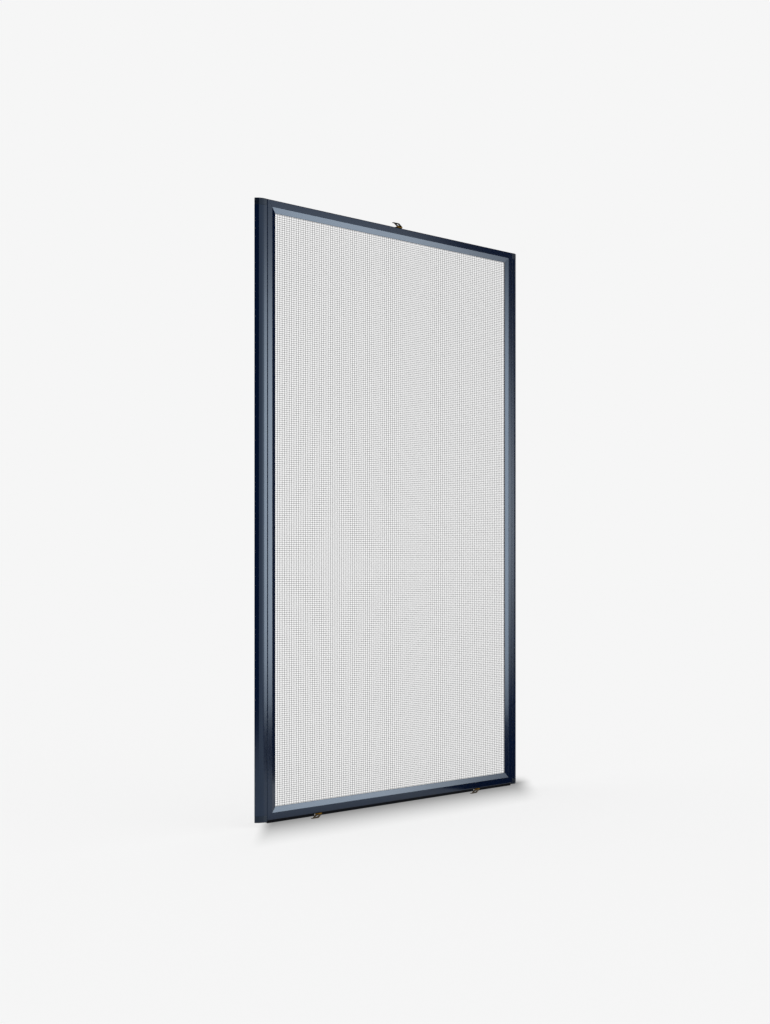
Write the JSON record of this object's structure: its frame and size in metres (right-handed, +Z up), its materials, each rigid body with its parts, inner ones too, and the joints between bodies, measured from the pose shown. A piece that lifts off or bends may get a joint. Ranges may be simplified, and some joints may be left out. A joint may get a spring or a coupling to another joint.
{
  "type": "fireplace screen",
  "caption": "Tall rectangular fireplace screen: woven wire mesh in a slim mitred frame with chamfered side strips and bent brass spring tabs.",
  "frame": {"origin": "centre of the flat rear face of the bottom rail, on the panel's centre line", "axes": "+X to the right seen from the front, +Y to the rear, +Z up; the front faces -Y"},
  "size_m": [0.7, 0.011, 1.0175],
  "materials": {
    "frame_paint": "satin powder coat, dark slate blue",
    "key_metal": "die-cast",
    "mesh_wire": "drawn wire, plain weave",
    "cap_plastic": "moulded",
    "seal_rubber": "extruded",
    "tab_brass": "bent sheet",
    "screw_brass": "turned"
  },
  "bodies": {
    "frame": {"left_stile": "frame_paint", "right_stile": "frame_paint", "top_rail": "frame_paint", "bottom_rail": "frame_paint", "corner_key_top_left": "key_metal", "corner_key_top_right": "key_metal", "corner_key_bottom_left": "key_metal", "corner_key_bottom_right": "key_metal", "left_retaining_bead": "frame_paint", "right_retaining_bead": "frame_paint", "top_retaining_bead": "frame_paint", "bottom_retaining_bead": "frame_paint", "wire_mesh": "mesh_wire", "left_side_strip": "frame_paint", "right_side_strip": "frame_paint", "end_cap_top_left": "cap_plastic", "end_cap_top_right": "cap_plastic", "end_cap_bottom_left": "cap_plastic", "end_cap_bottom_right": "cap_plastic", "bottom_seal_left": "seal_rubber", "bottom_seal_middle": "seal_rubber", "bottom_seal_right": "seal_rubber", "bottom_left_spring_tab": "tab_brass", "bottom_right_spring_tab": "tab_brass", "top_tab_screw": "screw_brass", "bottom_tab_screws": "screw_brass"},
    "top_tab": {"top_spring_tab": "tab_brass"}
  },
  "joints": [
    {"name": "top_tab_swivel", "type": "hinge", "parent": "frame", "child": "top_tab", "pos_m": [0, -0.0066, 0.9915], "axis": [0, 0, 1], "range_deg": [-90, 90]}
  ]
}
